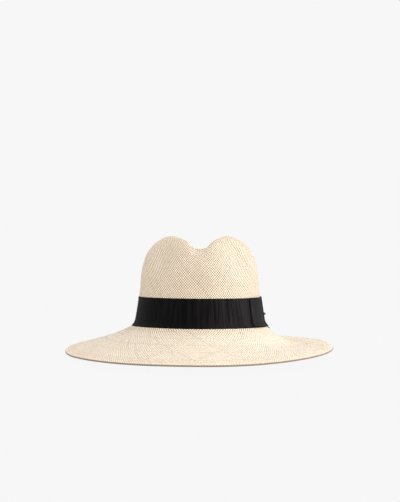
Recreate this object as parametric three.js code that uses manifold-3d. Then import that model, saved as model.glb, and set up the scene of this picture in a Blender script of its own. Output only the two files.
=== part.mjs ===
// A wide-brimmed straw sun hat: one woven straw body blocked into a creased crown and a brim,
// a wire in the turned hem, a grosgrain band with a flat bow, and a sweatband inside.
// Millimetres. +Z is up, -Y is the front of the hat and +X is the wearer's left, where the bow is.
// The hat stands on its brim: its lowest point is at z = 0 and the origin is under its middle.

import * as THREE from "three";
import { mergeVertices } from "three/addons/utils/BufferGeometryUtils.js";
import Module from "manifold-3d";

const wasm = await Module();
wasm.setup();

const { degToRad, lerp, clamp, smoothstep } = THREE.MathUtils;

// ---- Driving dimensions: the straw ----
const strawThick = 0.8;
const footHalfWidth = 84; // outside of the crown at its foot, half across
const footHalfLength = 102; // the same, half front to back: a 57 cm head inside
const taper = 8.05; // how much narrower the crown is at taperHeight than at its foot
const taperHeight = 50;
const taperPower = 0.8; // below 1, most of the taper is near the foot
const shoulderHeight = 45; // where the side starts to round over into the tip
const domeHeight = 73; // from the shoulder to the top of the crown before it is creased
const domeSidePower = 2.54; // squareness of the dome: how long its side stays upright
const domeTopPower = 3.6; // squareness of the dome: how flat its top stays
const footFlare = 3.2; // the fillet where the crown spreads into the brim
const flareHeight = 9;
const crownTilt = degToRad(4.41); // the crown leans back over the brim
const rimLevel = 3.55; // top of the rim above the table, before its wave
const footHeight = 38.55; // crown's foot above the table
const brimWidth = 88;
const seatShift = -0.03; // slides the hat along Y so that its box is centred

// ---- Driving dimensions: the crease along the top and the two pinches in front ----
const creaseDepth = 32.4;
const creaseHalfLength = 65;
const creaseWidthFront = 10.9;
const creaseWidthBack = 19;
const creaseMiddle = -2; // where the crease is centred, along Y
const creaseStart = 60; // heights between which the crease fades in
const creaseFull = 100;
const creaseNarrow = -70; // along Y, the crease is at its front width up to here
const creaseWide = -20; // and at its back width from here
const creaseEndPower = 4; // squareness of the crease's ends
const creaseSidePower = 2.2; // squareness of its cross-section
const pinchDepth = 7;
const pinchReach = 22;
const pinchSide = 51; // half the distance between the pinches
const pinchHeight = 90;
const pinchStretch = 0.9; // below 1, a pinch is taller than it is wide

// ---- Driving dimensions: the brim's gentle wave and hollow ----
const frontLift = 9.8; // how far the wave lifts the rim at the front
const backLift = -1.5; // the back dips instead
const bowSideLift = 10.1;
const plainSideLift = 2.9;
const endPower = 1.5; // how fast the lift at the front and back fades towards the sides
const sidePower = 2; // how fast the lift at the sides fades towards the ends
const hollow = 0.119; // how concave the brim's slope is all round
const bowSideHollow = 0.72; // extra hollow at the bow side

// ---- Driving dimensions: hem, wire and threads ----
const hemWidth = 9;
const hemSlit = 0.3; // air between the brim and the hem folded under it
const channelRadius = 0.5; // the hollow in the fold where the wire lies
const wireRadius = 0.3;
const sleeveInner = 0.36;
const sleeveOuter = 0.44;
const sleeveLength = 12;
const threadRadius = 0.2;
const threadGap = 0.2;
const hemSeamIn = 2; // the hem's stitches run this far inside its folded edge
const jointGap = 0.3; // half the space between two ends that meet

// ---- Driving dimensions: ribbons ----
const gap = 0.3; // air between neighbouring layers
const ribbonThick = 0.4;
const bandWidth = 38;
const bandFoot = 0.5; // the band's lower edge above the crown's foot
const sweatbandWidth = 32;
const sweatbandThick = 0.8;
const sweatbandFoot = 2;
const sweatbandSeamUp = 1.5; // its stitches run this far above its lower edge

// ---- Driving dimensions: the bow, as distances round the crown from the wearer's left towards the back ----
const bowFront = -66;
const bowBack = 41;
const knotFront = -14;
const knotBack = -2;
const knotFlap = 12; // length of each end of the knot, turned in behind the loop
const loopRise = 6; // over this length the loop climbs behind the knot, over its own end
const loopTuck = 3; // the loop's front end stops this far in front of the knot
const loopShort = 2; // its back end stops this far behind the climb
const tailStart = 1;
const tailEnd = 58;
const tailDrop = 3; // how far the tail hangs onto the brim
const tailInset = 5; // how far its upper edge stays below the band's
const studAlong = -8;
const studHeight = 16.5;
const studRadius = 1.9;
const studRise = 1.9;
const postRadius = 0.5;
const holeRadius = 0.8;
const washerRadius = 3;

// ---- Driving dimensions: stitches and the flat pieces inside, whose middles are up above the foot ----
const tack = { width: 0.6, height: 2.4, thick: 0.3, belowEdge: 2 };
const insideBow = { width: 22, height: 9, up: 18 };
const sizeLabel = { width: 14, height: 12, up: 19, aside: 32 };
const careLabel = { width: 20, height: 30, up: 26, aside: -34 };

// ---- Mesh fineness ----
const spokes = 48;
const roundSides = 12; // of the stud, its washer and their hole
const sleeveSides = 8;
const wireSides = 6;
const threadSides = 4;
const crownRings = 19;
const brimRings = 7;
const filletUps = [3.5, 6.5, 10.5]; // heights up the fillet where the straw and every ribbon bend

const layer = gap + ribbonThick; // one ribbon and the air under it
const bandLevel = gap + ribbonThick / 2; // middle of the band's thickness, off the straw
const tailLevel = bandLevel + layer;
const loopLevel = tailLevel + layer;
const knotLevel = loopLevel + layer;
const inside = -strawThick; // the straw's inner face
const sweatbandLevel = inside - gap - sweatbandThick / 2;
const sweatbandFace = sweatbandLevel - sweatbandThick / 2;
const patchLevel = sweatbandFace - gap - ribbonThick / 2;
const backTurn = 0.25; // share of the way round, from the wearer's left, where the back's middle is
const beadDepth = 2 * (channelRadius + strawThick); // thickness of the rim where it folds over the wire

// ---- The oval of the crown ----
// theta is 0 at the front and 90 degrees at the wearer's left.

function ovalPoint(theta, scale) {
  return new THREE.Vector2(
    scale * footHalfWidth * Math.sin(theta),
    -scale * footHalfLength * Math.cos(theta),
  );
}

function ovalNormal(theta) {
  return new THREE.Vector2(
    footHalfLength * Math.sin(theta),
    -footHalfWidth * Math.cos(theta),
  ).normalize();
}

// Distance round the foot's oval, from the wearer's left towards the back.
const ovalSteps = 720;
const ovalLengths = [0];
for (let i = 0; i < ovalSteps; i++) {
  const here = ovalPoint(Math.PI / 2 + (i * 2 * Math.PI) / ovalSteps, 1);
  const next = ovalPoint(Math.PI / 2 + ((i + 1) * 2 * Math.PI) / ovalSteps, 1);
  ovalLengths.push(ovalLengths[i] + here.distanceTo(next));
}
const ovalLength = ovalLengths[ovalSteps];

function angleAt(along) {
  const turns = Math.floor(along / ovalLength);
  const rest = along - turns * ovalLength;
  const i = Math.max(1, ovalLengths.findIndex((length) => length >= rest));
  const part = (rest - ovalLengths[i - 1]) / (ovalLengths[i] - ovalLengths[i - 1]);
  return Math.PI / 2 + 2 * Math.PI * (turns + (i - 1 + part) / ovalSteps);
}

function alongAt(turn) {
  return ovalLengths[Math.round(turn * ovalSteps) % ovalSteps];
}

// ---- The crown ----

function sideWidth(z) {
  return footHalfWidth - taper * clamp(z / taperHeight, 0, 1) ** taperPower;
}

// Half the crown's outline before it is creased: x is the half width and y the height.
class CrownOutline extends THREE.Curve {
  getPoint(t) {
    const domeShare = 0.72;
    if (t > domeShare) {
      const z = shoulderHeight * ((1 - t) / (1 - domeShare));
      return new THREE.Vector2(sideWidth(z), z);
    }
    const angle = (1 - t / domeShare) * (Math.PI / 2);
    const z = shoulderHeight + domeHeight * Math.sin(angle) ** (2 / domeSidePower);
    const narrowing = Math.max(0, Math.cos(angle)) ** (2 / domeTopPower);
    return new THREE.Vector2(t === 0 ? 0 : sideWidth(z) * narrowing, z);
  }
}
const outline = new CrownOutline();
outline.arcLengthDivisions = 800;
const crownLength = outline.getLength(); // from the tip's middle down to the foot, along the straw
const rimReach = crownLength + brimWidth;

function pinchCentre(side) {
  const scale = outlineWidthAt(pinchHeight) / footHalfWidth;
  const across = pinchSide / (scale * footHalfWidth);
  const forward = -scale * footHalfLength * Math.sqrt(1 - across ** 2);
  return new THREE.Vector3(side * pinchSide, forward, pinchHeight);
}

function outlineWidthAt(z) {
  const rise = clamp((z - shoulderHeight) / domeHeight, 0, 1);
  return sideWidth(z) * (1 - rise ** domeSidePower) ** (1 / domeTopPower);
}

const pinches = [-1, 1].map((side) => {
  const centre = pinchCentre(side);
  const inward = new THREE.Vector3(
    -centre.x / footHalfWidth ** 2,
    -centre.y / footHalfLength ** 2,
    0,
  ).normalize();
  return { centre, inward };
});

// Presses the crease and the pinches into a point of the smooth crown.
function dented(point) {
  const lengthwise = Math.exp(-(Math.abs((point.y - creaseMiddle) / creaseHalfLength) ** creaseEndPower));
  const width = lerp(creaseWidthFront, creaseWidthBack, smoothstep(point.y, creaseNarrow, creaseWide));
  const crosswise = Math.exp(-(Math.abs(point.x / width) ** creaseSidePower));
  const upward = smoothstep(point.z, creaseStart, creaseFull);
  const result = point.clone();
  result.z -= creaseDepth * lengthwise * crosswise * upward;
  for (const { centre, inward } of pinches) {
    const away = result.clone().sub(centre);
    away.z *= pinchStretch;
    result.addScaledVector(inward, pinchDepth * Math.exp(-away.lengthSq() / pinchReach ** 2));
  }
  return result;
}

function crownPoint(theta, width, z) {
  const flat = ovalPoint(theta, width / footHalfWidth);
  flat.addScaledVector(ovalNormal(theta), footFlare * clamp(1 - z / flareHeight, 0, 1) ** 2);
  const point = dented(new THREE.Vector3(flat.x, flat.y, z));
  const cos = Math.cos(crownTilt);
  const sin = Math.sin(crownTilt);
  return new THREE.Vector3(
    point.x,
    point.y * cos + point.z * sin + seatShift,
    point.z * cos - point.y * sin + footHeight,
  );
}

// ---- The brim ----

function rimHeight(theta) {
  const front = clamp(Math.cos(theta), 0, 1);
  const back = clamp(-Math.cos(theta), 0, 1);
  const bowSide = clamp(Math.sin(theta), 0, 1);
  const plainSide = clamp(-Math.sin(theta), 0, 1);
  const ends = frontLift * front ** endPower + backLift * back ** endPower;
  const sides = bowSideLift * bowSide ** sidePower + plainSideLift * plainSide ** sidePower;
  return rimLevel + ends + sides;
}

function brimPoint(theta, out) {
  const foot = crownPoint(theta, footHalfWidth, 0);
  const share = out / brimWidth;
  const bowSide = clamp(Math.sin(theta), 0, 1) ** sidePower;
  const bend = hollow + bowSideHollow * bowSide;
  const fall = share + bend * Math.sin(Math.PI * share) * (1 - share);
  const normal = ovalNormal(theta);
  const reach = (brimWidth - footFlare) * share;
  return new THREE.Vector3(
    foot.x + normal.x * reach,
    foot.y + normal.y * reach,
    lerp(foot.z, rimHeight(theta), fall),
  );
}

// ---- The straw's outer face: theta round the hat, out along the straw from the tip's middle ----

function strawPoint(theta, out) {
  if (out > crownLength) return brimPoint(theta, out - crownLength);
  const { x, y } = outline.getPointAt(clamp(out / crownLength, 0, 1));
  return crownPoint(theta, x, y);
}

function strawNormal(theta, out) {
  const reach = 0.5;
  const turn = 0.004;
  const atTip = out < reach;
  const outward = atTip
    ? strawPoint(theta, reach).sub(strawPoint(theta + Math.PI, reach))
    : strawPoint(theta, out + reach).sub(strawPoint(theta, out - reach));
  const around = atTip
    ? strawPoint(theta + Math.PI / 2, reach).sub(strawPoint(theta - Math.PI / 2, reach))
    : strawPoint(theta + turn, out).sub(strawPoint(theta - turn, out));
  return outward.cross(around).normalize();
}

// A place on the hat: off is the height off the straw's outer face, negative into it and inside.
function onStraw(theta, out, off) {
  return strawPoint(theta, out).addScaledVector(strawNormal(theta, out), off);
}

// The same, from a distance round the crown and a distance up it from its foot.
function onCrown(along, up, off) {
  return onStraw(angleAt(along), crownLength - up, off);
}

// ---- Geometry helpers ----

// Moves every vertex of a three.js geometry and joins the ones that meet.
function reshape(geometry, move) {
  const position = geometry.getAttribute("position");
  const vertex = new THREE.Vector3();
  for (let i = 0; i < position.count; i++) {
    const moved = move(vertex.fromBufferAttribute(position, i).clone(), i);
    position.setXYZ(i, moved.x, moved.y, moved.z);
  }
  return joined(geometry);
}

function joined(geometry) {
  geometry.deleteAttribute("normal");
  geometry.deleteAttribute("uv");
  const merged = mergeVertices(geometry, 1e-3);
  const kept = [];
  const { array } = merged.index;
  for (let i = 0; i < array.length; i += 3) {
    const [a, b, c] = array.subarray(i, i + 3);
    if (a !== b && b !== c && c !== a) kept.push(a, b, c);
  }
  merged.setIndex(kept);
  merged.computeVertexNormals();
  return merged;
}

function steps(from, to, count) {
  return Array.from({ length: count + 1 }, (_, i) => lerp(from, to, i / count));
}

// A ribbon: the middle line of its thickness as points (distance round, height off the straw),
// its width as a list of distances up the crown.
function ribbon(line, ups, thick) {
  const normals = line.map((_, i) => {
    const before = line[Math.max(0, i - 1)];
    const after = line[Math.min(line.length - 1, i + 1)];
    const along = after.clone().sub(before).normalize();
    return new THREE.Vector2(-along.y, along.x);
  });
  const stock = new THREE.BoxGeometry(1, 1, 1, line.length - 1, ups.length - 1, 1);
  return reshape(stock, (v) => {
    const i = Math.round((v.x + 0.5) * (line.length - 1));
    const j = Math.round((v.y + 0.5) * (ups.length - 1));
    const place = line[i].clone().addScaledVector(normals[i], v.z * thick);
    return onCrown(place.x, ups[j], place.y);
  });
}

// The middle line of a ribbon that goes right round the hat and meets itself at startTurn.
function ringLine(off, startTurn) {
  const start = alongAt(startTurn);
  const line = [new THREE.Vector2(start + jointGap, off)];
  for (let i = 1; i < spokes; i++) {
    const turn = startTurn + i / spokes;
    line.push(new THREE.Vector2(alongAt(turn) + (turn >= 1 ? ovalLength : 0), off));
  }
  line.push(new THREE.Vector2(start + ovalLength - jointGap, off));
  return line;
}

// A thread that goes right round the hat.
function threadRing(out, off) {
  const stockRadius = 2;
  return reshape(new THREE.TorusGeometry(stockRadius, 1, threadSides, spokes), (v) => {
    const theta = Math.atan2(v.y, v.x);
    const across = Math.hypot(v.x, v.y) - stockRadius;
    return onStraw(theta, out + threadRadius * across, off + threadRadius * v.z);
  });
}

function solidOf(geometry) {
  return new wasm.Manifold(
    new wasm.Mesh({
      numProp: 3,
      vertProperties: geometry.getAttribute("position").array,
      triVerts: new Uint32Array(geometry.index.array),
    }),
  );
}

function subtract(geometry, tool) {
  const cut = solidOf(geometry).subtract(solidOf(tool)).getMesh();
  const result = new THREE.BufferGeometry();
  result.setAttribute("position", new THREE.BufferAttribute(new Float32Array(cut.vertProperties), 3));
  result.setIndex(new THREE.BufferAttribute(new Uint32Array(cut.triVerts), 1));
  result.computeVertexNormals();
  return result;
}

// Stands a lathe-turned piece on the crown with its axis along the straw's normal.
function standOnCrown(geometry, along, up) {
  const theta = angleAt(along);
  const foot = strawPoint(theta, crownLength - up);
  const turn = new THREE.Quaternion().setFromUnitVectors(
    new THREE.Vector3(0, 1, 0),
    strawNormal(theta, crownLength - up),
  );
  return reshape(geometry, (v) => v.applyQuaternion(turn).add(foot));
}

// ---- Materials ----

const straw = new THREE.MeshStandardMaterial({ color: 0xeeddc0, roughness: 0.75 });
const blackRibbon = new THREE.MeshStandardMaterial({ color: 0x1c1b1d, roughness: 0.8 });
const blackThread = new THREE.MeshStandardMaterial({ color: 0x141315, roughness: 0.7 });
const strawThread = new THREE.MeshStandardMaterial({ color: 0xe6d3b3, roughness: 0.7 });
const steel = new THREE.MeshStandardMaterial({ color: 0xb9bcc0, roughness: 0.35, metalness: 1 });
const darkBrass = new THREE.MeshStandardMaterial({ color: 0x6d6647, roughness: 0.4, metalness: 1 });
const satin = new THREE.MeshStandardMaterial({ color: 0xf1ece0, roughness: 0.45 });

const hat = new THREE.Group();

function add(name, geometry, material) {
  const mesh = new THREE.Mesh(geometry, material);
  mesh.name = name;
  hat.add(mesh);
}

// ---- The straw body ----
// Turned as a flat woven disc with its edge folded under, then pressed onto the block.

function strawBody() {
  const foldRadius = beadDepth / 2;
  const bead = rimReach - foldRadius; // middle of the fold, out along the straw
  const hemEdge = bead - hemWidth;
  const hemNeck = bead - beadDepth;
  const flapTop = inside - hemSlit;
  const flapUnder = flapTop - strawThick;
  const stations = [
    ...steps(0, crownLength - filletUps[2], crownRings),
    crownLength - filletUps[1],
    crownLength - filletUps[0],
    ...steps(crownLength, hemEdge, brimRings),
    hemNeck,
    bead,
  ];
  const arc = (radius, angles) =>
    angles.map((degrees) => {
      const angle = degToRad(degrees);
      return [bead + radius * Math.cos(angle), -foldRadius + radius * Math.sin(angle)];
    });
  const profile = [
    ...stations.map((out) => [out, inside]),
    ...arc(channelRadius, [45, 0, -45, -90]),
    [hemNeck, flapTop],
    [hemEdge, flapTop],
    [hemEdge, flapUnder],
    [hemNeck, flapUnder],
    ...arc(foldRadius, [-90, -45, 0, 45]),
    ...stations.map((out) => [out, 0]).reverse(),
  ].map(([out, off]) => new THREE.Vector2(out, off));
  return reshape(new THREE.LatheGeometry(profile, spokes), (v) =>
    onStraw(Math.atan2(v.x, v.z), Math.hypot(v.x, v.z), v.y),
  );
}

// ---- The wire in the hem ----
// Its ends butt inside a short crimped sleeve, midway between two spokes at the back.

function wirePlace(spoke, across, off) {
  const lower = Math.floor(spoke);
  const angle = (2 * Math.PI) / spokes;
  const out = rimReach - beadDepth / 2 + across;
  const start = onStraw(lower * angle, out, off - beadDepth / 2);
  const end = onStraw((lower + 1) * angle, out, off - beadDepth / 2);
  return start.lerp(end, spoke - lower);
}

const wireJoint = spokes / 2 + 0.5;
const spokeLength = (2 * Math.PI * (footHalfLength + brimWidth)) / spokes;

function brimWire() {
  const end = jointGap / spokeLength;
  const stations = [
    wireJoint + end,
    ...steps(Math.ceil(wireJoint), Math.floor(wireJoint) + spokes, spokes - 1),
    wireJoint + spokes - end,
  ];
  const stock = new THREE.CylinderGeometry(wireRadius, wireRadius, 1, wireSides, stations.length - 1);
  return reshape(stock, (v) => {
    const i = Math.round((v.y + 0.5) * (stations.length - 1));
    return wirePlace(stations[i] % spokes, v.x, v.z);
  });
}

function wireSleeve() {
  const half = sleeveLength / 2;
  const section = [
    new THREE.Vector2(sleeveInner, -half),
    new THREE.Vector2(sleeveOuter, -half),
    new THREE.Vector2(sleeveOuter, half),
    new THREE.Vector2(sleeveInner, half),
    new THREE.Vector2(sleeveInner, -half),
  ];
  return reshape(new THREE.LatheGeometry(section, sleeveSides), (v) =>
    wirePlace(wireJoint + v.y / spokeLength, v.x, v.z),
  );
}

// ---- The bow ----

function bowLoop() {
  const fold = layer / 2; // radius of the ribbon's middle line where it turns back
  const frontFold = bowFront + fold + ribbonThick / 2;
  const backFold = bowBack - fold - ribbonThick / 2;
  const climbed = knotBack + 2 * loopRise;
  const turnBack = (along, off, from) =>
    steps(from, from - 180, 6).map((degrees) => {
      const angle = degToRad(degrees);
      return new THREE.Vector2(along + fold * Math.cos(angle), off + fold * Math.sin(angle));
    });
  const flat = (from, to, off, count) =>
    steps(from, to, count).map((along) => new THREE.Vector2(along, off));
  const line = [
    ...flat(knotFront - loopTuck, frontFold, tailLevel, 5).slice(0, -1),
    ...turnBack(frontFold, tailLevel + fold, 270),
    ...flat(frontFold, knotBack + loopRise, loopLevel, 8).slice(1),
    ...flat(climbed, backFold, knotLevel, 3).slice(0, -1),
    ...turnBack(backFold, loopLevel + fold, 90),
    ...flat(backFold, climbed + loopShort, loopLevel, 3).slice(1),
  ];
  return ribbon(line, ribbonUps(bandFoot, bandFoot + bandWidth), ribbonThick);
}

// Distances up the crown where a ribbon bends, from its lower edge to its upper one.
function ribbonUps(from, to) {
  return [from, ...filletUps, (filletUps[2] + to) / 2, to];
}

function bowTail() {
  const line = steps(tailStart, tailEnd, 8).map((along) => new THREE.Vector2(along, tailLevel));
  const upper = ribbonUps(bandFoot, bandFoot + bandWidth - tailInset);
  return ribbon(line, [-tailDrop, -tailDrop / 2, 0, ...upper.slice(1)], ribbonThick);
}

// A narrower ribbon wrapped up over the loop's middle and turned in behind it at both edges.
function bowKnot() {
  const edge = bandFoot + bandWidth;
  const clear = gap + ribbonThick / 2;
  const low = bandFoot - clear;
  const high = edge + clear;
  const half = ribbonThick / 2;
  const corner = 0.1; // the wrap turns with this little room beyond half its thickness
  const line = [
    [bandFoot + knotFlap, tailLevel],
    ...filletUps.map((up) => [up, tailLevel]).reverse(),
    [low + clear, tailLevel],
    [low, tailLevel + half + corner],
    [low, knotLevel - half - corner],
    [low + clear, knotLevel],
    ...[...filletUps, (filletUps[2] + edge) / 2].map((up) => [up, knotLevel]),
    [high - clear, knotLevel],
    [high, knotLevel - half - corner],
    [high, tailLevel + half + corner],
    [high - clear, tailLevel],
    [edge - knotFlap / 2, tailLevel],
    [edge - knotFlap, tailLevel],
  ].map(([up, off]) => new THREE.Vector2(up, off));
  const alongs = steps(knotBack, knotFront, 4);
  const stock = new THREE.BoxGeometry(1, 1, 1, line.length - 1, alongs.length - 1, 1);
  return reshape(stock, (v) => {
    const i = Math.round((v.x + 0.5) * (line.length - 1));
    const j = Math.round((v.y + 0.5) * (alongs.length - 1));
    const before = line[Math.max(0, i - 1)];
    const after = line[Math.min(line.length - 1, i + 1)];
    const way = after.clone().sub(before).normalize();
    const across = new THREE.Vector2(-way.y, way.x).multiplyScalar(v.z * ribbonThick);
    const place = line[i].clone().add(across);
    return onCrown(alongs[j], place.x, place.y);
  });
}

// A domed stud whose post goes through the knot and the loop to a washer behind them.
function bowStud() {
  const base = knotLevel + ribbonThick / 2 + gap;
  const postEnd = tailLevel - ribbonThick / 2;
  const dome = steps(0, 90, 5).map((degrees) => {
    const angle = degToRad(degrees);
    return new THREE.Vector2(studRadius * Math.cos(angle), base + studRise * Math.sin(angle));
  });
  dome[dome.length - 1].x = 0;
  const profile = [
    new THREE.Vector2(0, postEnd),
    new THREE.Vector2(postRadius, postEnd),
    new THREE.Vector2(postRadius, base),
    ...dome,
  ];
  return standOnCrown(new THREE.LatheGeometry(profile, roundSides), studAlong, studHeight);
}

function studWasher() {
  const low = tailLevel - ribbonThick / 2;
  const high = tailLevel + ribbonThick / 2;
  const profile = [
    new THREE.Vector2(holeRadius, low),
    new THREE.Vector2(washerRadius, low),
    new THREE.Vector2(washerRadius, high),
    new THREE.Vector2(holeRadius, high),
    new THREE.Vector2(holeRadius, low),
  ];
  return standOnCrown(new THREE.LatheGeometry(profile, roundSides), studAlong, studHeight);
}

function studHole() {
  const depth = 4 * knotLevel;
  const drill = new THREE.CylinderGeometry(holeRadius, holeRadius, depth, roundSides);
  return standOnCrown(drill, studAlong, studHeight);
}

// ---- Small trim ----

// A short stitch over the band's upper edge.
function bandTack(along) {
  const stock = new THREE.BoxGeometry(tack.width, tack.height, tack.thick, 1, 2, 1);
  const up = bandFoot + bandWidth - tack.belowEdge;
  const off = bandLevel + ribbonThick / 2 + gap / 2 + tack.thick / 2;
  return reshape(stock, (v) => onCrown(along + v.x, up + v.y, off + v.z));
}

// A flat piece that lies inside the hat against the sweatband.
function insidePatch({ width, height, up, aside = 0 }) {
  const middle = alongAt(backTurn) + aside;
  const line = steps(middle - width / 2, middle + width / 2, 4).map(
    (along) => new THREE.Vector2(along, patchLevel),
  );
  return ribbon(line, steps(up - height / 2, up + height / 2, 2), ribbonThick);
}

// ---- Assembly ----

add("straw_body", strawBody(), straw);
add("brim_wire", brimWire(), steel);
add("brim_wire_sleeve", wireSleeve(), steel);

const hemSeam = rimReach - beadDepth / 2 - hemWidth + hemSeamIn;
const overBrim = threadGap + threadRadius;
const underHem = inside - hemSlit - strawThick - overBrim;
add("hem_needle_thread", threadRing(hemSeam, overBrim), strawThread);
add("hem_bobbin_thread", threadRing(hemSeam, underHem), strawThread);

const bandUps = ribbonUps(bandFoot, bandFoot + bandWidth);
add("hat_band", ribbon(ringLine(bandLevel, 0), bandUps, ribbonThick), blackRibbon);
const hole = studHole();
add("bow_tail", bowTail(), blackRibbon);
add("bow_loop", subtract(bowLoop(), hole), blackRibbon);
add("bow_knot", subtract(bowKnot(), hole), blackRibbon);
add("bow_stud", bowStud(), darkBrass);
add("bow_stud_washer", studWasher(), darkBrass);

const tackTurns = { front: 0.75, wearer_right: 0.5, back: backTurn };
for (const [place, turn] of Object.entries(tackTurns)) {
  add("band_tack_" + place, bandTack(alongAt(turn)), blackThread);
}

const sweatbandUps = ribbonUps(sweatbandFoot, sweatbandFoot + sweatbandWidth);
add("sweatband", ribbon(ringLine(sweatbandLevel, backTurn), sweatbandUps, sweatbandThick), blackRibbon);
const sweatbandSeam = crownLength - sweatbandFoot - sweatbandSeamUp;
add("sweatband_thread", threadRing(sweatbandSeam, sweatbandFace - overBrim), blackThread);
add("sweatband_bow", insidePatch(insideBow), blackRibbon);
add("size_label", insidePatch(sizeLabel), satin);
add("care_label", insidePatch(careLabel), satin);

export default hat;
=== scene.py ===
"""A woven straw sun hat with a black grosgrain band and a flat bow, seen from the front.

The shape repeats the CAD model's own formulas at a finer pitch, in millimetres, and adds the woven straw,
the ribbed ribbons, the stitches and the small trim. Metres are used only where meshes are made.
"""
import math

import bpy
import numpy as np
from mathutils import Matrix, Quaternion, Vector

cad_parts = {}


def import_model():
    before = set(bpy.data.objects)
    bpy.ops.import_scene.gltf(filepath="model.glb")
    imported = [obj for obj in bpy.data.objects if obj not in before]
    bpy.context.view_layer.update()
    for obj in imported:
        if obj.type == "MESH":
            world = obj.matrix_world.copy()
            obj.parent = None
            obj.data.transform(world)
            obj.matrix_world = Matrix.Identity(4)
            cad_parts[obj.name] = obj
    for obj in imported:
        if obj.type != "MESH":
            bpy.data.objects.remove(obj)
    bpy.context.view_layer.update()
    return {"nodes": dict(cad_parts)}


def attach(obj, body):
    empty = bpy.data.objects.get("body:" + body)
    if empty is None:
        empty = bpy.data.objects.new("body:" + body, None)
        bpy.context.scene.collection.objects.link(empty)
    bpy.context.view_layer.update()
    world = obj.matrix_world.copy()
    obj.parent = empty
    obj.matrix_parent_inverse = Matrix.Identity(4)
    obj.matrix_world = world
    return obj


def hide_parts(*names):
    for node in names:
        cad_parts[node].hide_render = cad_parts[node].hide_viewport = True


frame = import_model()

MM = 0.001
TAU = 2 * math.pi
BODY = "root"

# ---- Sizes that the CAD model also has, in millimetres ----
STRAW = 0.8
HALF_WIDTH, HALF_LENGTH = 84.0, 102.0  # the straw's oval at the crown's foot
TAPER, TAPER_HEIGHT, TAPER_POWER = 8.05, 50.0, 0.8
SHOULDER, DOME = 45.0, 73.0
DOME_SIDE_POWER, DOME_TOP_POWER = 2.54, 3.6
FLARE, FLARE_HEIGHT = 3.2, 9.0
CROWN_TILT = math.radians(4.41)
RIM_LEVEL, FOOT_HEIGHT, SEAT_SHIFT = 3.55, 38.55, -0.03
BRIM = 88.0
CREASE_DEPTH, CREASE_HALF_LENGTH, CREASE_MIDDLE = 32.4, 65.0, -2.0
CREASE_LENGTH_POWER, CREASE_WIDTH_POWER = 4, 2.2
CREASE_WIDTH_FRONT, CREASE_WIDTH_BACK = 10.9, 19.0
CREASE_WIDENS_FROM, CREASE_WIDENS_TO = -70, -20
CREASE_START, CREASE_FULL = 60.0, 100.0
PINCH_DEPTH, PINCH_REACH, PINCH_SIDE, PINCH_HEIGHT = 7.0, 22.0, 51.0, 90.0
PINCH_NARROWING = 0.9  # a pinch is this much narrower than it is tall
FRONT_LIFT, BACK_LIFT, BOW_SIDE_LIFT, PLAIN_SIDE_LIFT = 9.8, -1.5, 10.1, 2.9
END_LIFT_POWER, SIDE_LIFT_POWER = 1.5, 2
HOLLOW, BOW_SIDE_HOLLOW = 0.119, 0.72
HEM, HEM_SLIT, CHANNEL = 9.0, 0.3, 0.5
BAND_WIDTH, BAND_FOOT = 38.0, 0.5
BAND_TOP = BAND_FOOT + BAND_WIDTH
SWEATBAND_WIDTH, SWEATBAND_FOOT = 32.0, 2.0


# ---- The blocked shape: theta is 0 at the front and a quarter turn at the wearer's left ----

DOME_STEPS, SIDE_STEPS, OVAL_STEPS = 1200, 400, 2880  # fine steps for measuring along the outlines


def smoothstep(low, high, x):
    t = np.clip((x - low) / (high - low), 0, 1)
    return t * t * (3 - 2 * t)


def running_length(x, y):
    """Distance along a line of points, from 0 at the first one."""
    return np.concatenate([[0], np.cumsum(np.hypot(np.diff(x), np.diff(y)))])


def unit(vectors):
    return vectors / np.linalg.norm(vectors, axis=-1, keepdims=True)


def same_shape(*values):
    return np.broadcast_arrays(*(np.asarray(value, float) for value in values))


def oval_normal(theta):
    x, y = HALF_LENGTH * np.sin(theta), -HALF_WIDTH * np.cos(theta)
    size = np.hypot(x, y)
    return x / size, y / size


def side_width(z):
    return HALF_WIDTH - TAPER * np.clip(z / TAPER_HEIGHT, 0, 1) ** TAPER_POWER


def crown_outline():
    """Half the crown's outline before it is creased: distance from the tip, half width and height."""
    angle = np.linspace(math.pi / 2, 0, DOME_STEPS + 1)
    dome_z = SHOULDER + DOME * np.sin(angle) ** (2 / DOME_SIDE_POWER)
    narrowing = np.clip(np.cos(angle), 0, 1) ** (2 / DOME_TOP_POWER)
    narrowing[0] = 0
    side_z = np.linspace(SHOULDER, 0, SIDE_STEPS + 1)[1:]
    width = np.concatenate([side_width(dome_z) * narrowing, side_width(side_z)])
    height = np.concatenate([dome_z, side_z])
    return running_length(width, height), width, height


OUTLINE_OUT, OUTLINE_WIDTH, OUTLINE_HEIGHT = crown_outline()
CROWN = float(OUTLINE_OUT[-1])  # from the tip's middle to the crown's foot, along the straw
RIM = CROWN + BRIM


def pinches():
    """The place and the way inwards of each of the two pinches, on the crown's side at their height."""
    scale = side_width(PINCH_HEIGHT) / HALF_WIDTH
    rise = (PINCH_HEIGHT - SHOULDER) / DOME
    scale *= (1 - rise**DOME_SIDE_POWER) ** (1 / DOME_TOP_POWER)
    across = PINCH_SIDE / (scale * HALF_WIDTH)
    y = -scale * HALF_LENGTH * math.sqrt(1 - across**2)
    for side in (-1, 1):
        inward = np.array([-side * PINCH_SIDE / HALF_WIDTH**2, -y / HALF_LENGTH**2])
        yield side * PINCH_SIDE, y, unit(inward)


PINCHES = list(pinches())


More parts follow.
